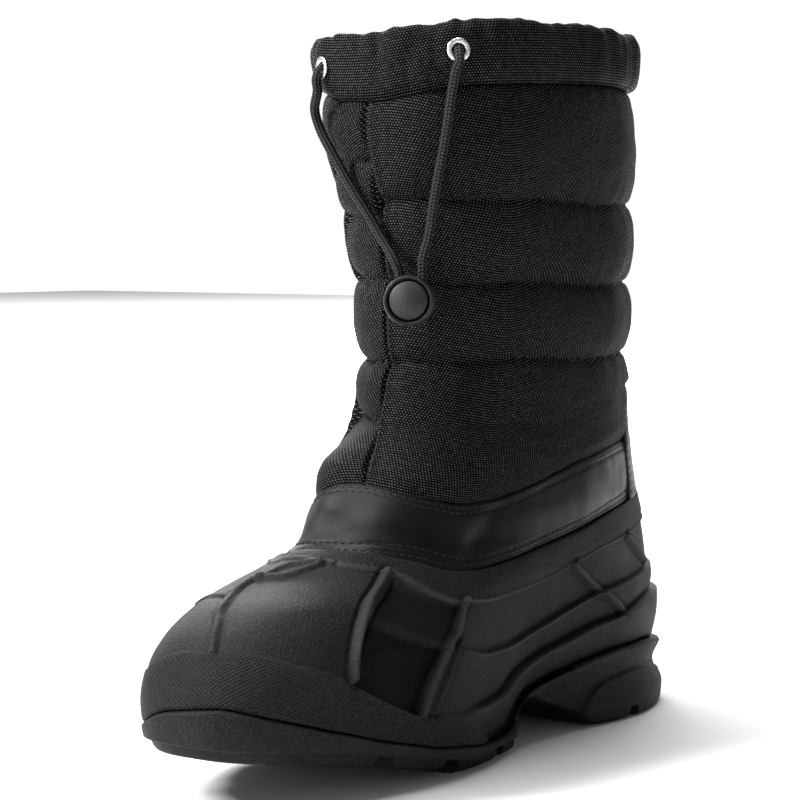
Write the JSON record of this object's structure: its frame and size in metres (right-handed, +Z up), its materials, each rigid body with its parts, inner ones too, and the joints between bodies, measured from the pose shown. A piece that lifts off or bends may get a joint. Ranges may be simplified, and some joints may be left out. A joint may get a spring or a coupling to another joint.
{
  "type": "snow boot",
  "caption": "Tall black pull-on snow boot for the left foot: padded nylon shaft with a drawcord and cord lock, leather band and moulded rubber foot.",
  "frame": {"origin": "middle of the boot's own box, on the floor", "axes": "+Z up the shaft, -Y towards the toe, +X towards the outer side of the left foot"},
  "size_m": [0.1242, 0.316, 0.294],
  "materials": {
    "sole_rubber": "matt black moulded rubber with a fine grain",
    "foot_rubber": "matt black moulded rubber with ribs and fine diagonal texture",
    "band_leather": "smooth black leather, lightly waxed",
    "shaft_nylon": "black woven oxford nylon, quilted over foam",
    "drawcord": "black braided cord",
    "eyelet_metal": "bright nickel",
    "lock_plastic": "satin black plastic",
    "button_plastic": "satin dark grey plastic",
    "footbed": "dark felt over foam"
  },
  "bodies": {
    "boot": {"outsole": "sole_rubber", "insole": "footbed", "upper_shell": "foot_rubber", "upper_band": "band_leather", "upper_shaft": "shaft_nylon", "upper_collar": "shaft_nylon", "back_stay": "band_leather", "eyelet_outer": "eyelet_metal", "eyelet_inner": "eyelet_metal", "drawcord_outer": "drawcord", "drawcord_inner": "drawcord", "cord_lock": "lock_plastic"},
    "lock_button": {"cord_lock_button": "button_plastic"}
  },
  "joints": [
    {"name": "lock_press", "type": "slide", "parent": "boot", "child": "lock_button", "axis": [-0.4997, 0.8655, -0.0349], "range_m": [0, 0.0025], "stiffness_N_per_m": 1500, "springref_m": -0.001}
  ]
}
